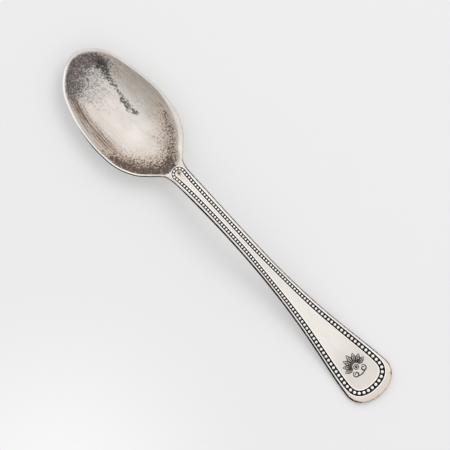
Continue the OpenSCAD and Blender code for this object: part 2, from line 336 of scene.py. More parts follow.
def add_piece(name, points, faces, stands_for, weld=2e-4, close=False):
    """A smooth closed mesh from points in millimetres, riding on the spoon."""
    mesh = bpy.data.meshes.new(name)
    bm = bmesh.new()
    verts = [bm.verts.new(p) for p in np.asarray(points, float)]
    for face in faces:
        corners = [verts[i] for i in face]
        if len(set(corners)) > 2:
            bm.faces.new(corners)
    bmesh.ops.remove_doubles(bm, verts=bm.verts, dist=weld)
    bmesh.ops.dissolve_degenerate(bm, edges=bm.edges, dist=weld / 4)
    if close:
        bmesh.ops.holes_fill(bm, edges=bm.edges)
    bmesh.ops.recalc_face_normals(bm, faces=bm.faces)
    for face in bm.faces:
        face.smooth = True
    bm.to_mesh(mesh)
    bm.free()
    mesh.transform(Matrix.Scale(MM, 4))
    piece = bpy.data.objects.new(name, mesh)
    bpy.context.scene.collection.objects.link(piece)
    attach(piece, "root")
    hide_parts(*stands_for)
    return piece


def places(piece):
    """A piece's points, in millimetres."""
    co = np.empty(len(piece.data.vertices) * 3)
    piece.data.vertices.foreach_get("co", co)
    return co.reshape(-1, 3) / MM


def paint(piece, name, values):
    """A named value at each point, which the material reads."""
    layer = piece.data.attributes.new(name, "FLOAT", "POINT")
    layer.data.foreach_set("value", np.asarray(values, np.float32))


# ---------------------------------------------------------------- the bowl

EDGE_STEPS = [0, 0.008, 0.03, 0.07, 0.12, 0.18, 0.25, 0.33, 0.42, 0.55, 0.68, 0.78, 0.88,
              0.98, 1.1, 1.25, 1.4, 1.55, 1.75, 2.1, 2.6, 3.2]
INNER_RINGS = 44


def make_bowl():
    side = resample(bowl_side(), 150)
    left, right = leaned(side), leaned(mirrored(side))
    loop = np.concatenate([left[:-1], resample(joint_line, 36), right[-2:0:-1]])
    out = loop - DEEPEST
    reach = np.linalg.norm(out, axis=1)[:, None]
    steps = np.array(EDGE_STEPS)[None]
    inner = np.linspace(1, 0, INNER_RINGS + 1)[None, 1:]
    radii = np.concatenate([reach - steps, (reach - EDGE_STEPS[-1]) * inner], 1)
    plan = DEEPEST + out[:, None] / reach[..., None] * radii[..., None]
    x, y = plan[..., 0].T, plan[..., 1].T
    rings = len(radii[0])
    top_side = np.stack([x, y, upper(x, y)], -1)
    under_side = np.stack([x, y, lower(x, y)], -1)
    points = np.concatenate([top_side[::-1].reshape(-1, 3), under_side.reshape(-1, 3)])
    return add_piece("bowl_shell", points, grid(2 * rings, len(loop), wrap=True),
                     ["bowl"])


# ---------------------------------------------------------------- the handle and its channel

neck_x = X_JOINT + 0.0405 * HANDLE_L
cap_x = X_JOINT + 0.9824 * HANDLE_L
neck_r = float(handle_half(neck_x) * curve(BEAD_LINE, share(neck_x)))
cap_b = float(handle_half(cap_x) * curve(BEAD_LINE, share(cap_x)))
NECK_N, ROW_N, CAP_N = 22, 230, 56


def row_y(x):
    return handle_half(x) * curve(BEAD_LINE, share(x))


def bead_path():
    """Half of the bead line, from the neck's middle to the broad end's middle."""
    lean = math.atan(float(row_y(neck_x) - row_y(neck_x + 0.1)) / 0.1)
    t = np.linspace(0, np.pi / 2 + lean, NECK_N, endpoint=False)
    neck = np.stack([neck_x - neck_r * np.cos(t), neck_r * np.sin(t)], -1)
    start = neck_x + neck_r * math.sin(lean)
    x = start + (cap_x - start) * np.linspace(0, 1, ROW_N, endpoint=False) ** 1.2
    step = neck_r * math.cos(lean) - float(row_y(start))
    row = np.stack([x, row_y(x) + step * np.exp((start - x) / 1.5)], -1)
    cap = cap_point(cap_x, X_END - CAP_BORDER - cap_x, cap_b, CAP_SQUARE,
                    np.linspace(90, 0, CAP_N))
    return np.concatenate([neck, row, cap])


def outward(path):
    """Unit normals of the half path, pointing away from the panel."""
    whole = np.concatenate([mirrored(path[1:2]), path, mirrored(path[-2:-1])])
    along = whole[2:] - whole[:-2]
    along /= np.linalg.norm(along, axis=1)[:, None]
    return np.stack([-along[:, 1], along[:, 0]], -1)


def outer_points(path):
    """The point of the handle's outline that goes with each point of the bead path."""
    corner_n = NECK_N - 8
    front = np.stack([np.full(corner_n, X_JOINT),
                      joint_half * np.linspace(0, 1, corner_n, endpoint=False)], -1)
    row = np.maximum.accumulate(path[corner_n:NECK_N + ROW_N, 0])
    blend = 6.0
    start = row[0]
    x = np.where(row < start + blend, X_JOINT + (start + blend - X_JOINT)
                 * ((row - start) / blend), row)
    x = x + (X_SHOULDER - cap_x) * ease(50, cap_x, row)
    side = np.stack([x, handle_half(x)], -1)
    cap = cap_point(X_SHOULDER, END_L, END_HALF, END_SQUARE, np.linspace(90, 0, CAP_N))
    return np.concatenate([front, side, cap])


def both_sides(ring):
    """A closed loop from its half on the left."""
    return np.concatenate([ring, (ring * ([1, -1] + [1] * (ring.shape[1] - 2)))[-2:0:-1]])


def lift(plan, raised):
    """Points on the top surface, raised or sunk."""
    return np.concatenate([plan, (upper(plan[:, 0], plan[:, 1]) + raised)[:, None]], 1)


def make_handle():
    path = bead_path()
    normal = outward(path)
    outer = outer_points(path)
    half = channel_half(path[:, 0])
    depth = channel_depth(path[:, 0])
    ridge_foot = path + normal * (half + RIDGE_W)[:, None]
    inward = ridge_foot - outer
    room = np.linalg.norm(inward, axis=1)[:, None]
    inward /= room
    rings = []
    for step in (0, 0.008, 0.03, 0.07, 0.13, 0.2, 0.29, 0.4, 0.52, 0.66, EDGE_BAND):
        rings.append(lift(outer + inward * np.minimum(step, room * step), 0))
    rounded = np.minimum(EDGE_BAND, EDGE_BAND * room)
    for part in (0.2, 0.4, 0.55, 0.7, 0.82, 0.92):
        rings.append(lift(outer + inward * (rounded + (room - rounded) * part), 0))
    section = [(RIDGE_W, 0), (0.34, 0.25), (0.26, 0.7), (0.18, 1), (0.11, 0.95), (0.05, 0.6),
               (0.015, 0.2)]
    wall = [(-0.005, 0.12), (-0.02, 0.35), (-0.04, 0.7), (-0.07, 0.92), (-0.12, 1)]
    for side in (1, -1):
        ridge = [lift(path + side * normal * (half + o)[:, None], RIDGE_H * h)
                 for o, h in section]
        drop = [lift(path + side * normal * (half + o)[:, None], -depth * h)
                for o, h in wall]
        rings += (ridge + drop) if side > 0 else (drop[::-1] + ridge[::-1])
    loops = np.stack([both_sides(r) for r in rings])
    faces = grid(len(rings), loops.shape[1], wrap=True)
    points = [loops.reshape(-1, 3)]
    count = loops.shape[0] * loops.shape[1]

    panel = path - normal * (half + RIDGE_W)[:, None]
    across = np.sin(np.linspace(-1, 1, 19) * np.pi / 2)
    x = np.repeat(panel[:, :1], len(across), 1)
    y = panel[:, 1:] * across
    points.append(np.stack([x, y, upper(x, y)], -1).reshape(-1, 3))
    faces += grid(len(path), len(across), count)
    count += len(path) * len(across)

    under = outer[outer[:, 0] > X_JOINT + 1e-6]
    under = np.concatenate([[[X_JOINT, joint_half]], under])
    across = np.sin(np.linspace(-1, 1, 45) * np.pi / 2)
    x = np.repeat(under[:, :1], len(across), 1)
    y = under[:, 1:] * across
    points.append(np.stack([x, y, lower(x, y)], -1).reshape(-1, 3))
    faces += grid(len(under), len(across), count)
    return add_piece("handle_body", np.concatenate(points), faces,
                     ["handle"], weld=1e-3, close=True)


def make_patina():
    """The black lining of the channel's floor and walls."""
    path = bead_path()
    normal = outward(path)
    half = channel_half(path[:, 0])
    depth = channel_depth(path[:, 0])
    film = 0.03
    section = [(0.0, 0.05), (-0.01, 0.35), (-0.03, 0.75), (-0.07, 0.95), (-0.12, 1.0)]
    rings = []
    for thick in (film, 0.0):
        line = []
        for side in (1, -1):
            part = [lift(path + side * normal * (half + o - thick)[:, None],
                         -depth * h + (PATINA_T * h * h if thick else 0.0))
                    for o, h in section]
            line += part if side > 0 else part[::-1]
        rings += line if thick else line[::-1]
    rings.append(rings[0])
    loops = np.stack([both_sides(r) for r in rings])
    piece = add_piece("channel_tarnish", loops.reshape(-1, 3),
                      grid(len(rings), loops.shape[1], wrap=True),
                      ["channel_patina"], weld=1e-4)
    x, y, _ = places(piece).T
    paint(piece, "worn", np.where(y > 0, ease(-25.5, -28, x), ease(-22.5, -26, x)))
    return piece


# ---------------------------------------------------------------- the beads

DARK_CROWN_R = 0.24


def bead_places():
    """Centre of each bead on the left half, from the neck to the broad end."""
    path = bead_path()
    step = np.linalg.norm(np.diff(path, axis=0), axis=1) / pitch(path[:-1, 0])
    count = np.concatenate([[0], np.cumsum(step)])
    at = (np.arange(HALF_BEADS) + 0.5) * count[-1] / HALF_BEADS
    return np.stack([np.interp(at, count, path[:, k]) for k in range(2)], -1)


def dome(r, turns=22, rings=12):
    """Worn bead: an upright side and a low crown, closed below, as high as its radius."""
    share_out = np.sin(np.linspace(np.pi / 2, 0, rings))
    crown = r * (1 - BEAD_CROWN + BEAD_CROWN * (1 - share_out ** BEAD_SQUARE) ** 0.5)
    profile = [(0.0, -0.04), (0.97 * r, -0.04), (r, (1 - BEAD_CROWN) * r / 2)]
    profile += list(zip(share_out * r, crown))
    t = np.linspace(0, 2 * np.pi, turns, endpoint=False)
    points = [(q * math.cos(a), q * math.sin(a), z) for q, z in profile for a in t]
    return np.array(points), grid(len(profile), turns, wrap=True)


def make_beads(name, node, centres):
    """Beads at these centres, with darker crowns towards the broad end."""
    points, faces = [], []
    count = 0
    for x, y in centres:
        r = float(pitch(x)) * BEAD_FILL / 2
        shape, quads = dome(r)
        slope = math.atan(float(top(x + 0.1) - top(x - 0.1)) / 0.2)
        turn = np.array(Matrix.Rotation(-slope, 3, "Y"))
        z = float(top(x) - channel_depth(x)) + PATINA_T
        points.append(shape @ turn.T + [x, y, z])
        faces += [tuple(i + count for i in q) for q in quads]
        count += len(shape)
    piece = add_piece(name, np.concatenate(points), faces, [node])
    p = places(piece)
    near = np.hypot(p[:, None, 0] - centres[:, 0], p[:, None, 1] - centres[:, 1]).min(1)
    # the crown of each bead is made darker, more so towards the broad end
    paint(piece, "worn", np.exp(-(near / DARK_CROWN_R) ** 2) * ease(30, 50, p[:, 0]))
    return piece


# ---------------------------------------------------------------- the engraved palmette

PALMETTE_X = X_END - 14.6  # root of the leaves
LEAF_L = 4.6
LEAF_W = 1.65
LEAF_STEP = 26  # degrees between leaves
LEAF_START = 1.5  # distance of a leaf's foot from the root
LEAF_SHRINK = 0.08  # share of the length that each leaf loses against its inner neighbour
LEAF_CURVE = 0.8  # below 1, a leaf is widest nearer its foot
SCROLL_R = 1.35
SCROLL_AT = (2.2, 1.85)
TIE_X = 3.6
TIE_HALF = 2.2
LINE_PROUD = 0.012
LINE_DEEP = 0.12


def ribbon(line, width):
    """Closed strip along a line in plan, just proud of the panel and sunk into it."""
    line = np.asarray(line, float)
    along = np.gradient(line, axis=0)
    along /= np.linalg.norm(along, axis=1)[:, None].clip(1e-9)
    side = np.stack([-along[:, 1], along[:, 0]], -1) * np.asarray(width)[..., None] / 2
    ring = []
    for edge, height in ((1, LINE_PROUD), (-1, LINE_PROUD), (-1, -LINE_DEEP), (1, -LINE_DEEP)):
        plan = line + edge * side
        ring.append(np.column_stack([plan, top(plan[:, 0]) + height]))
    points = np.stack(ring, 1).reshape(-1, 3)
    ends = [(0, 1, 2, 3), tuple(range(len(points) - 4, len(points)))]
    return points, grid(len(line), 4, wrap=True) + ends


def leaf_edge(length, width, n=26):
    """One side of a pointed leaf along +X, from its foot to its point."""
    t = np.linspace(0, 1, n)
    return np.column_stack([length * t, width / 2 * np.sin(np.pi * t ** LEAF_CURVE)])


def turned(line, degrees, shift=(0, 0)):
    a = math.radians(degrees)
    return line @ np.array([[math.cos(a), math.sin(a)], [-math.sin(a), math.cos(a)]]) + shift


def palmette_lines():
    """(line, width) for each cut of the ornament."""
    root = np.array([PALMETTE_X, 0.0])
    lines = []
    for k in range(-3, 4):
        length = LEAF_L * (1 - LEAF_SHRINK * abs(k))
        angle = 180 + LEAF_STEP * k
        start = np.array([LEAF_START, 0.0])
        edge = leaf_edge(length, LEAF_W)
        swell = 0.2 + 0.25 * np.sin(np.pi * np.linspace(0, 1, len(edge)))
        for flip in (1, -1):
            lines.append((turned(edge * [1, flip] + start, angle, root), swell))
        mid = np.column_stack([np.linspace(0.05, 0.72, 12) * length, np.zeros(12)])
        lines.append((turned(mid + start, angle, root), np.linspace(0.55, 0.18, 12)))
        for at in (0.3, 0.45, 0.6, 0.75):
            for flip in (1, -1):
                reach = 0.42 * LEAF_W * math.sin(math.pi * at ** LEAF_CURVE)
                vein = np.column_stack([length * at + np.linspace(-0.4, 0.2, 6),
                                        flip * np.linspace(0.1, 1, 6) * reach])
                lines.append((turned(vein + start, angle, root), np.linspace(0.26, 0.12, 6)))
    circle = np.linspace(0, 2 * np.pi, 40)
    for r, w in ((1.0, 0.34), (0.36, 0.5)):
        ring = np.column_stack([np.cos(circle), np.sin(circle)]) * r
        lines.append((ring + root, np.full(40, w)))
    for flip in (1, -1):
        t = np.linspace(0, 1, 48)
        turn = 2 * np.pi * 1.25 * t
        r = SCROLL_R * (1 - 0.7 * t)
        scroll = np.column_stack([SCROLL_AT[0] - r * np.cos(turn),
                                  flip * (SCROLL_AT[1] + r * np.sin(turn))])
        lines.append((scroll + root, 0.26 + 0.3 * np.sin(np.pi * t)))
    bar = np.column_stack([np.full(16, TIE_X), np.linspace(-TIE_HALF, TIE_HALF, 16)])
    bar[:, 0] -= 0.12 * bar[:, 1] ** 2
    lines.append((bar + root, 0.1 + 0.42 * np.cos(np.linspace(-1.4, 1.4, 16))))
    return lines


def make_palmette():
    points, faces = [], []
    count = 0
    for line, width in palmette_lines():
        p, f = ribbon(line, width)
        points.append(p)
        faces += [tuple(i + count for i in q) for q in f]
        count += len(p)
    piece = add_piece("engraved_palmette", np.concatenate(points), faces,
                      ["crest_inlay"], weld=1e-5)
    for face in piece.data.polygons:
        face.use_smooth = False
    return piece


# ---------------------------------------------------------------- materials

class Shader:
    """A node material, with short ways to add and join nodes."""

    def __init__(self, name, **values):
        self.material = bpy.data.materials.new(name)
        self.material.use_nodes = True
        self.nodes = self.material.node_tree.nodes
        self.links = self.material.node_tree.links
        self.surface = self.nodes["Principled BSDF"]
        for socket, value in values.items():
            self.surface.inputs[socket.replace("_", " ")].default_value = value
        self.place = self.nodes.new("ShaderNodeTexCoord").outputs["Object"]

    def join(self, value, socket):
        if isinstance(value, bpy.types.NodeSocket):
            self.links.new(value, socket)
        else:
            socket.default_value = value

    def math(self, operation, a, b=0.0, clamp=False):
        node = self.nodes.new("ShaderNodeMath")
        node.operation = operation
        node.use_clamp = clamp
        self.join(a, node.inputs[0])
        self.join(b, node.inputs[1])
        return node.outputs[0]

    def stretch(self, scale, turn=0.0):
        """Coordinates in millimetres, stretched along the axes and turned about Z."""
        node = self.nodes.new("ShaderNodeMapping")
        node.inputs["Scale"].default_value = [s / MM for s in scale]
        node.inputs["Rotation"].default_value = (0, 0, math.radians(turn))
        self.links.new(self.place, node.inputs["Vector"])
        return node.outputs[0]

    def noise_on(self, vector, detail=4.0, rough=0.55, bend=0.0):
        node = self.nodes.new("ShaderNodeTexNoise")
        node.inputs["Scale"].default_value = 1.0
        node.inputs["Detail"].default_value = detail
        node.inputs["Roughness"].default_value = rough
        node.inputs["Distortion"].default_value = bend
        self.links.new(vector, node.inputs["Vector"])
        return node.outputs[0]

    def noise(self, scale=(1, 1, 1), turn=0.0, **how):
        """Noise with so many features a millimetre along each axis."""
        return self.noise_on(self.stretch(scale, turn), **how)

    def joined(self, *named):
        """A vector from named values on the points, each with its own scale."""
        node = self.nodes.new("ShaderNodeCombineXYZ")
        for socket, (name, scale) in zip(node.inputs, named):
            self.links.new(self.math("MULTIPLY", self.attribute(name), scale), socket)
        return node.outputs[0]

    def attribute(self, name):
        node = self.nodes.new("ShaderNodeAttribute")
        node.attribute_name = name
        return node.outputs["Fac"]

    def span(self, value, low, high, out_low=0.0, out_high=1.0):
        node = self.nodes.new("ShaderNodeMapRange")
        node.interpolation_type = "SMOOTHSTEP"
        self.links.new(value, node.inputs["Value"])
        for key, number in (("From Min", low), ("From Max", high), ("To Min", out_low),
                            ("To Max", out_high)):
            node.inputs[key].default_value = number
        return node.outputs[0]

    def mix(self, amount, a, b):
        node = self.nodes.new("ShaderNodeMix")
        node.data_type = "RGBA"
        self.join(amount, node.inputs[0])
        for value, socket in ((a, node.inputs[6]), (b, node.inputs[7])):
            self.join(value if isinstance(value, bpy.types.NodeSocket) else (*value, 1.0), socket)
        return node.outputs[2]

    def bump(self, height, distance, strength=1.0):
        """Distance is in millimetres."""
        node = self.nodes.new("ShaderNodeBump")
        node.inputs["Strength"].default_value = strength
        node.inputs["Distance"].default_value = distance * MM
        self.links.new(height, node.inputs["Height"])
        self.links.new(node.outputs[0], self.surface.inputs["Normal"])

    def set(self, socket, value):
        self.join(value, self.surface.inputs[socket])

    def on(self, piece):
        piece.data.materials.clear()
        piece.data.materials.append(self.material)


SILVER = (0.77, 0.73, 0.69)
BRIGHT_SILVER = (0.93, 0.91, 0.885)
WARM_SILVER = (0.61, 0.56, 0.505)
TAN = (0.71, 0.60, 0.49)
BEIGE_GREY = (0.53, 0.485, 0.43)
BROWN = (0.16, 0.105, 0.077)
PURPLE_BROWN = (0.125, 0.088, 0.080)
PIT_BROWN = (0.095, 0.062, 0.052)
BLUE_GREY = (0.19, 0.18, 0.19)
GREEN_GREY = (0.04, 0.048, 0.044)
MOTTLE_GREY = (0.34, 0.30, 0.265)
BEAD_SILVER = (0.9, 0.885, 0.86)
DARK_CROWN = (0.3, 0.28, 0.26)
# near black: soot in the channel, and painted shade along the edges
SOOT_AND_SHADE = (0.006, 0.005, 0.005)
BROWN_SOOT = (0.02, 0.016, 0.013)
WORN_SOOT = (0.16, 0.135, 0.115)
ENGRAVED = (0.02, 0.018, 0.016)
WORN_ENGRAVED = (0.07, 0.065, 0.06)


def speckle(s):
    """Fine pitting, from about -1 to 1, the same on the bowl and the neck."""
    grain = s.noise((1.35, 1.35, 1.35), detail=3, rough=0.7)
    fine = s.noise((2.9, 2.9, 2.9), detail=2, rough=0.7)
    both = s.math("ADD", s.math("MULTIPLY", grain, 0.6), s.math("MULTIPLY", fine, 0.4))
    return s.math("MULTIPLY", s.math("SUBTRACT", both, 0.5), 9.0)


def heel_stain(s, colour, grains):
    """Dark pits over tan metal, dense against the rim and sparse farther in."""
    heel = s.attribute("heel")
    colour = s.mix(s.span(heel, 0.05, 0.6, 0.0, 0.72), colour, TAN)
    pits = s.span(s.math("ADD", s.math("MULTIPLY", heel, 2.0), grains), 1.05, 1.65)
    pits = s.math("MULTIPLY", pits, s.span(heel, 0.02, 0.15, 0.0, 0.88))
    return s.mix(pits, colour, PIT_BROWN)


def satin_silver():
    s = Shader("satin_silver", Metallic=1.0)
    cloud = s.noise((0.12, 0.3, 0.3), detail=5)
    mottle = s.noise((0.8, 1.1, 1.1), detail=4, rough=0.6)
    fine = s.noise((0.5, 4.0, 4.0), turn=12, detail=3)
    # the handle's tarnish, and painted shade along its edges, as read from its points
    grime_and_shade = s.attribute("grime_and_shade")
    polish_and_highlight = s.attribute("polish_and_highlight")
    tarnish_and_shade = s.math("MULTIPLY", grime_and_shade, s.span(mottle, 0.3, 0.7, 0.75, 1.25), clamp=True)
    colour = s.mix(s.span(cloud, 0.35, 0.75, 0.0, 0.25), SILVER, WARM_SILVER)
    colour = s.mix(s.span(mottle, 0.45, 0.75, 0.0, 0.14), colour, TAN)
    colour = s.mix(s.attribute("dull"), colour, BEIGE_GREY)
    colour = s.mix(polish_and_highlight, colour, BRIGHT_SILVER)
    colour = s.mix(s.span(tarnish_and_shade, 0.05, 0.5), colour, TAN)
    colour = s.mix(s.span(tarnish_and_shade, 0.3, 0.9), colour, PURPLE_BROWN)
    colour = s.mix(s.span(tarnish_and_shade, 0.75, 1.0), colour, SOOT_AND_SHADE)
    s.set("Base Color", heel_stain(s, colour, speckle(s)))
    worn = s.math("SUBTRACT", s.span(fine, 0.3, 0.7, 0.28, 0.37),
                  s.math("MULTIPLY", polish_and_highlight, 0.12))
    rough = s.math("ADD", s.math("MULTIPLY", tarnish_and_shade, 0.3), s.attribute("rough"))
    s.set("Roughness", s.math("ADD", worn, rough))
    scratch = s.noise((0.25, 14, 14), turn=35, detail=2, rough=0.7)
    dents = s.noise((0.9, 0.9, 0.9), detail=3)
    s.bump(s.math("ADD", s.math("MULTIPLY", scratch, 0.25), s.math("MULTIPLY", dents, 0.9)),
           0.012)
    return s


def bead_silver():
    s = Shader("bead_silver", Metallic=1.0)
    cloud = s.noise((0.5, 0.5, 0.5))
    colour = s.mix(s.span(cloud, 0.4, 0.8, 0.0, 0.3), BEAD_SILVER, WARM_SILVER)
    # darker crowns where the points are marked
    s.set("Base Color", s.mix(s.math("MULTIPLY", s.attribute("worn"), 0.4), colour, DARK_CROWN))
    s.set("Roughness", s.span(cloud, 0.3, 0.7, 0.12, 0.2))
    return s


def black_tarnish():
    s = Shader("black_tarnish", Metallic=0.0, Specular_IOR_Level=0.12)
    cloud = s.noise((2.5, 2.5, 2.5))
    colour = s.mix(s.span(cloud, 0.3, 0.75), SOOT_AND_SHADE, BROWN_SOOT)
    s.set("Base Color", s.mix(s.attribute("worn"), colour, WORN_SOOT))
    s.set("Roughness", s.span(cloud, 0.3, 0.7, 0.6, 0.8))
    s.bump(cloud, 0.02)
    return s


def engraving_tarnish():
    s = Shader("engraving_tarnish", Metallic=0.0, Specular_IOR_Level=0.15)
    cloud = s.noise((3, 3, 3))
    s.set("Base Color", s.mix(s.span(cloud, 0.4, 0.7), ENGRAVED, WORN_ENGRAVED))
    s.set("Roughness", s.span(cloud, 0.3, 0.7, 0.5, 0.7))
    return s


def worn_silver():
    s = Shader("worn_silver", Metallic=1.0)
    grains = speckle(s)
    cloud = s.noise((0.16, 0.2, 0.2), detail=6, rough=0.6)
    blotch = s.noise((0.5, 0.6, 0.6), detail=6, rough=0.7)
    dabs = s.noise((0.75, 2.0, 2.0), turn=6, detail=3, rough=0.75)
    hair = s.noise((0.12, 2.4, 0), turn=-8, detail=4, rough=0.75)
    groove = s.noise_on(s.joined(("contour", 2.1), ("length", 0.05)), detail=4, rough=0.8)
    worms = s.noise((1.0, 1.2, 1.2), detail=2, rough=0.6, bend=2.0)
    scratches = s.noise((0.12, 3.4, 0), turn=-16, detail=4, rough=0.8)

    patches = s.math("MULTIPLY", s.math("SUBTRACT", blotch, 0.5), 0.9)
    dark = s.math("ADD", s.attribute("dark"), patches)
    smooth_dark = s.span(s.math("ADD", dark, s.math("MULTIPLY", grains, 0.22)), 0.15, 1.15)
    pitted = s.span(s.math("ADD", s.math("MULTIPLY", dark, 1.5), grains), 0.9, 1.7)
    pitted = s.math("MULTIPLY", pitted, s.span(s.attribute("dark"), 0.02, 0.15))
    brown = s.attribute("brown")
    lines = s.math("MULTIPLY", s.math("SUBTRACT", groove, 0.5), 11.0)
    lines = s.math("ADD", lines, s.math("MULTIPLY", grains, 0.3))
    brown_dark = s.span(s.math("ADD", s.math("MULTIPLY", brown, 1.65), lines), 0.8, 1.9)
    brown_dark = s.math("MULTIPLY", brown_dark, s.span(brown, 0.05, 0.4, 0.0, 0.85))
    flecks = s.math("MULTIPLY", s.math("SUBTRACT", dabs, 0.5), 6.0)
    # the streak is partly tarnish and partly a painted dark reflection
    streak_and_dark_reflection = s.span(s.math("ADD", s.attribute("streak_and_dark_reflection"), flecks), 0.42, 0.88)
    streak_and_dark_reflection = s.math("MULTIPLY", streak_and_dark_reflection, s.span(s.attribute("streak_and_dark_reflection"), 0.1, 0.4))
    brushed = s.span(s.math("ADD", hair, s.math("MULTIPLY", grains, 0.11)), 0.34, 0.68, 0.3, 1.0)
    # haze, partly painted shade on the hollow's wall and rim where y is positive
    haze_and_shade = s.math("MULTIPLY", s.attribute("haze_and_shade"), brushed)
    mottled = s.math("MULTIPLY", s.attribute("mottle"),
                     s.span(s.math("ADD", worms, s.math("MULTIPLY", grains, 0.05)), 0.42, 0.6))
    scratched = s.span(scratches, 0.5, 0.64, 0.0, 0.42)

    colour = s.mix(s.span(cloud, 0.3, 0.75, 0.0, 0.3), SILVER, WARM_SILVER)
    colour = s.mix(scratched, colour, BEIGE_GREY)
    colour = s.mix(haze_and_shade, colour, BEIGE_GREY)
    # on the bowl, a painted highlight along the rim; on the handle, polish of the raised lips
    colour = s.mix(s.attribute("polish_and_highlight"), colour, BRIGHT_SILVER)
    colour = s.mix(s.math("MULTIPLY", mottled, 0.22), colour, MOTTLE_GREY)
    colour = s.mix(s.math("MULTIPLY", brown, 0.8, clamp=True), colour, TAN)
    colour = s.mix(brown_dark, colour, BROWN)
    colour = heel_stain(s, colour, grains)
    colour = s.mix(s.math("MULTIPLY", smooth_dark, 0.8), colour, BLUE_GREY)
    colour = s.mix(s.math("MULTIPLY", pitted, 0.8), colour, PURPLE_BROWN)
    colour = s.mix(s.math("MULTIPLY", streak_and_dark_reflection, 0.85), colour, GREEN_GREY)
    # the outline mix is painted shade along the bowl's edge
    s.set("Base Color", s.mix(s.attribute("outline"), colour, SOOT_AND_SHADE))

    s.set("Roughness", s.math("ADD", s.span(cloud, 0.3, 0.7, 0.5, 0.6),
                              s.math("MULTIPLY", smooth_dark, 0.1)))
    stained = s.math("ADD", s.attribute("heel"), s.attribute("dark"))
    pits = s.math("MULTIPLY", grains, s.span(stained, 0.0, 1.0, 0.03, 0.14))
    s.bump(s.math("ADD", pits, s.math("MULTIPLY", scratches, 0.3)), 0.05)
    return s


# ---------------------------------------------------------------- wear, with painted shade and highlights, as values on the points

def blob(x, y, centre, size, turn=0.0, power=2.0):
    """A soft oval patch of 1 in the middle, falling to 0."""
    a = math.radians(turn)
    dx, dy = x - centre[0], y - centre[1]
    u = (dx * math.cos(a) + dy * math.sin(a)) / size[0]
    v = (-dx * math.sin(a) + dy * math.cos(a)) / size[1]
    return np.exp(-(u * u + v * v) ** (power / 2))


def along(x, y, line, width):
    """A soft band of 1 along a line, with its width at each of the line's points."""
    line = resample(np.array(line, float), 60)
    width = np.interp(np.linspace(0, 1, 61), np.linspace(0, 1, len(width)), width)
    gap = np.hypot(x[:, None] - line[:, 0], y[:, None] - line[:, 1]) / width
    return np.exp(-gap.min(1) ** 2)


def heel_wear(x, y):
    """Where the hollow's dark end is stained, and how far each point is inside the rim."""
    s, _ = polar_at(hollow_table, x, y)
    from_rim = (1 - s) * np.hypot(x - DEEPEST[0], y - DEEPEST[1]) / s.clip(0.05)
    ring = along(x, y, [(-52, 13.5), (-45, 11.5), (-39, 7.5), (-34.5, 3), (-31, 0),
                        (-34, -6), (-39, -10.5), (-45, -13.5), (-53, -15.5)],
                 [3.0, 6.0, 7.0, 7.4, 8.6, 8.4, 7.6, 5.6, 3.2])
    dense = along(x, y, [(-49, 12.5), (-44, 10.8), (-39, 7.8), (-34, 3.5), (-31.5, -1),
                         (-33.5, -6), (-38, -10), (-44, -13), (-50, -14.6)],
                  [0.8, 2.2, 2.8, 3.0, 3.8, 3.8, 3.6, 2.6, 1.0])
    inner = np.where(y > 2, ease(-0.3, 2.4, from_rim), ease(-0.05, 0.15, from_rim))
    upper_side = ease(0, 6, y)
    stain = (0.62 - 0.1 * upper_side) * ring + (0.4 - 0.25 * upper_side) * dense
    return inner * stain, from_rim


def wear_bowl(piece):
    """Tarnish and wear of the bowl, with painted shade, a painted highlight and a painted dark
    reflection, as values on its points.
    """
    p = places(piece)
    x, y, z = p.T
    inside = (z > upper(x, y) - 0.2).astype(float)
    heel, from_rim = heel_wear(x, y)
    keep = inside * ease(-0.05, 0.15, from_rim)
    outer = (1 - inside) + inside * ease(0.45, 0.25, edge_distance(x, y))
    tip = along(x, y, [(-80, 8), (-84.5, 5.5), (-87.5, 1.5), (-87.6, -1.5), (-85, -5.5),
                       (-79.5, -9.6)], [2.4, 3.6, 6.4, 8.4, 7.4, 3.6])
    tip_haze = blob(x, y, (-83, -1), (17, 12), power=3)
    above = blob(x, y, (-78.5, 9.3), (7, 2.6), turn=12)
    dark = 0.63 * tip + 0.46 * tip_haze + 0.4 * above
    brown = along(x, y, [(-80, -9.2), (-74, -10.8), (-66, -11.9), (-58, -12.3), (-51, -12.1),
                         (-45, -11.4)], [1.1, 1.9, 2.4, 2.7, 2.5, 1.7])
    # painted shade: outline is a dark line along the bowl's outer edge where y is negative, from
    # the middle of the bowl to the heel
    outline = outer * ease(0, -4, y) * ease(-72, -56, x) * ease(-1.1, -0.7, z - top(x))
    # a dark flecked streak where y is positive, partly tarnish and partly a painted dark
    # reflection
    streak_and_dark_reflection = along(x, y, [(-81.5, 7.6), (-77.5, 6.6), (-73.5, 6.0), (-69.5, 5.7),
                          (-66, 5.1), (-63.5, 4.3), (-60, 4.2), (-56.3, 4.9)],
                   [1.3, 2.0, 1.7, 1.0, 0.6, 1.3, 1.5, 0.9])
    rim = inside * ease(0.3, -0.3, from_rim)
    # partly painted shade: the hollow's wall and rim where y is positive are made greyer; the
    # outside of the bowl gets an even haze
    haze_and_shade = (ease(3.5, 9.5, y) * ease(-88, -74, x) * ease(-46, -54, x)
            + 0.5 * ease(-46, -40, x) * ease(4, 9, y))
    mottle = blob(x, y, (-71, -3.5), (9, 6.5), power=3)
    paint(piece, "dark", dark * keep * ease(-0.3, 1.2, from_rim))
    paint(piece, "heel", heel * inside)
    paint(piece, "brown", brown * keep)
    paint(piece, "streak_and_dark_reflection", streak_and_dark_reflection * keep)
    paint(piece, "outline", outline)
    # painted highlight: a bright line on the bowl's rim where y is negative
    paint(piece, "polish_and_highlight", rim * ease(-2, -5, y) * ease(-33, -38, x) * (1 - outline))
    paint(piece, "haze_and_shade", haze_and_shade * keep + 0.35 * (1 - inside)
          + 0.4 * rim * ease(-33, -38, x) * (y > 0))
    paint(piece, "mottle", mottle * keep)
    paint(piece, "contour", from_rim)
    paint(piece, "length", x)


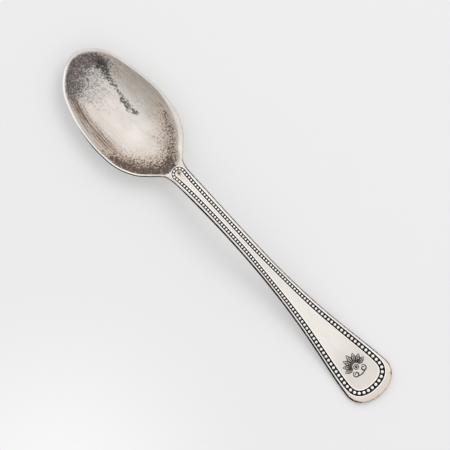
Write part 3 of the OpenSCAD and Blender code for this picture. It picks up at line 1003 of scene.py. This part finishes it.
def wear_handle(piece):
    """Tarnish and wear of the handle, with painted shade along its edges, as values on its
    points.
    """
    p = places(piece)
    x, y, z = p.T
    gap = edge_distance(x, y)
    rise = z - upper(x, y)
    heel = heel_wear(x, y)[0]
    inside = (x < X_JOINT + 2) * (rise > -0.2)
    paint(piece, "heel", heel * inside)
    paint(piece, "polish_and_highlight", ease(0.008, 0.03, rise))
    from_bowl = ease(X_JOINT, X_JOINT + 9, x)
    paint(piece, "dull", 0.32 * from_bowl * ease(40, 12, x) + 0.42 * ease(60, 74, x)
          + 0.2 * ease(85.5, 87.5, x))
    paint(piece, "rough", 0.23 * (1 - from_bowl))
    # painted shade: a dark line along both long edges of the handle, darker and wider where y is
    # negative, fading out at the broad end
    on_side = ease(-1.25, -0.95, z - top(x))
    line_w = 0.4 + 0.3 * ease(-26, -14, x)
    side = np.where(y < 0, 1.25 * ease(line_w, line_w - 0.2, gap), 0.8 * ease(0.5, 0.3, gap)
                    * ease(X_JOINT, X_JOINT + 3, x))
    side = side * (1 - 0.8 * ease(83, 87, x))
    tip = ease(X_END - 6, X_END - 1, x) * ease(2.6, 0.2, gap)
    corner = (blob(x, y, (X_END - 3.6, 8.6), (1.6, 1.4))
              + blob(x, y, (X_END - 4.2, -9.2), (2.4, 1.6)))
    spot = (blob(x, y, (neck_x - 0.3, 0.3), (0.95, 0.8))
            + 0.3 * blob(x, y, (neck_x + 2, 0), (2.6, 1)))
    # the side term is painted shade; the other terms are grime at the end, the corners, the neck
    # and the underside
    grime_and_shade = (side * on_side + 0.28 * tip + 0.4 * corner
             + 0.65 * spot * (rise > -0.5) + 0.1 * ease(20, -25, x) + 0.12 * (rise < -0.2))
    paint(piece, "grime_and_shade", np.clip(grime_and_shade, 0, 1))


# ---------------------------------------------------------------- camera, floor and light

VIEW_W = 0.1764  # width of the floor that the frame takes in, in metres
DISTANCE = 1.2
ROLL = 3.7  # the camera leans this many degrees to the side of the spoon where y is negative
TURN = 47.04  # the spoon points this far below the frame's horizontal, in degrees
MIDDLE = Vector((-0.0006, 0, 0.006))
FRAME_RIGHT = Vector((math.cos(math.radians(TURN)), math.sin(math.radians(TURN)), 0))
FRAME_UP = Vector((-FRAME_RIGHT.y, FRAME_RIGHT.x, 0))


def make_camera():
    data = bpy.data.cameras.new("camera")
    data.sensor_width = 36
    data.lens = 36 * DISTANCE / VIEW_W
    data.clip_start = 0.01
    camera = bpy.data.objects.new("camera", data)
    bpy.context.scene.collection.objects.link(camera)
    roll = Matrix.Rotation(math.radians(ROLL), 3, "X")
    back = roll @ Vector((0, 0, 1))
    camera.location = MIDDLE + back * DISTANCE
    turn = Matrix((roll @ FRAME_RIGHT, roll @ FRAME_UP, back)).transposed()
    camera.rotation_euler = turn.to_euler()
    bpy.context.scene.camera = camera


def make_floor():
    mesh = bpy.data.meshes.new("floor")
    size = 1.5
    low = -0.02 * MM  # just clear of the spoon's own flat feet
    corners = [(-size, -size, low), (size, -size, low), (size, size, low), (-size, size, low)]
    mesh.from_pydata(corners, [], [(0, 1, 2, 3)])
    floor = bpy.data.objects.new("floor", mesh)
    bpy.context.scene.collection.objects.link(floor)
    # painted glow: the floor gives off light of its own, more towards one corner, a painted pool
    # of light that also lightens the shadows on it
    s = Shader("floor_paper_painted_glow", Roughness=0.9, Base_Color=(0.5, 0.5, 0.502, 1),
               Emission_Color=(1, 1, 1, 1))
    spot = s.nodes.new("ShaderNodeVectorMath")
    spot.operation = "DISTANCE"
    s.links.new(s.place, spot.inputs[0])
    spot.inputs[1].default_value = (FRAME_RIGHT * -0.38 + FRAME_UP * -0.6) * VIEW_W
    s.set("Emission Strength", s.span(spot.outputs["Value"], 0.0, 0.5 * VIEW_W, 0.33, 0.22))
    s.on(floor)


def area_light(name, direction, distance, size, power):
    data = bpy.data.lights.new(name, "AREA")
    data.shape = "DISK"
    data.size = size
    data.energy = power
    light = bpy.data.objects.new(name, data)
    bpy.context.scene.collection.objects.link(light)
    at = Vector(direction).normalized()
    light.visible_glossy = False
    light.location = at * distance
    light.rotation_euler = at.to_track_quat("Z", "Y").to_euler()


# Brightness of the studio against height: (share of the way up, brightness)
SKY = [(0.0, 0.3), (0.2, 0.42), (0.4, 0.64), (0.58, 0.88), (0.74, 1.0), (0.92, 1.0),
       (0.975, 0.95), (1.0, 0.88)]
SKY_POWER = 1.2
SKY_LEAN = 0.25  # how much brighter one side is than the middle, as a share


def make_sky():
    world = bpy.data.worlds.new("studio")
    world.use_nodes = True
    nodes, links = world.node_tree.nodes, world.node_tree.links
    way = nodes.new("ShaderNodeTexCoord").outputs["Generated"]
    split = nodes.new("ShaderNodeSeparateXYZ")
    links.new(way, split.inputs[0])
    ramp = nodes.new("ShaderNodeValToRGB").color_ramp
    while len(ramp.elements) < len(SKY):
        ramp.elements.new(0.5)
    for stop, (height, grey) in zip(ramp.elements, SKY):
        stop.position = height
        stop.color = (grey, grey, grey, 1)
    ramp_node = nodes["Color Ramp"]
    links.new(split.outputs[2], ramp_node.inputs[0])
    side = nodes.new("ShaderNodeVectorMath")
    side.operation = "DOT_PRODUCT"
    links.new(way, side.inputs[0])
    side.inputs[1].default_value = (FRAME_UP + 0.35 * FRAME_RIGHT).normalized() * SKY_LEAN
    lean = nodes.new("ShaderNodeMath")
    lean.operation = "MULTIPLY_ADD"
    links.new(side.outputs["Value"], lean.inputs[0])
    lean.inputs[1].default_value = SKY_POWER
    lean.inputs[2].default_value = SKY_POWER
    links.new(ramp_node.outputs[0], nodes["Background"].inputs["Color"])
    links.new(lean.outputs[0], nodes["Background"].inputs["Strength"])
    bpy.context.scene.world = world


def make_light():
    side = FRAME_RIGHT * 0.8 + FRAME_UP
    area_light("key", (side.x * 0.6, side.y * 0.6, 1.3), 1.4, 0.8, 5)
    make_sky()
    bpy.context.scene.view_settings.view_transform = "Standard"


# ---------------------------------------------------------------- the scene

make_camera()
make_floor()
make_light()

bowl = make_bowl()
wear_bowl(bowl)
worn_silver().on(bowl)

handle = make_handle()
wear_handle(handle)
satin_silver().on(handle)

black_tarnish().on(make_patina())

left = bead_places()
right = left * [1, -1]
row = slice(NECK_BEADS, len(left) - END_BEADS)
bead_finish = bead_silver()
bead_finish.on(make_beads("beads_left", "bead_row_left", left[row]))
bead_finish.on(make_beads("beads_right", "bead_row_right", right[row]))
bead_finish.on(make_beads("beads_neck", "bead_arc_neck",
                          np.concatenate([left[:NECK_BEADS], right[:NECK_BEADS]])))
bead_finish.on(make_beads("beads_end", "bead_arc_end",
                          np.concatenate([left[-END_BEADS:], right[-END_BEADS:]])))

engraving_tarnish().on(make_palmette())
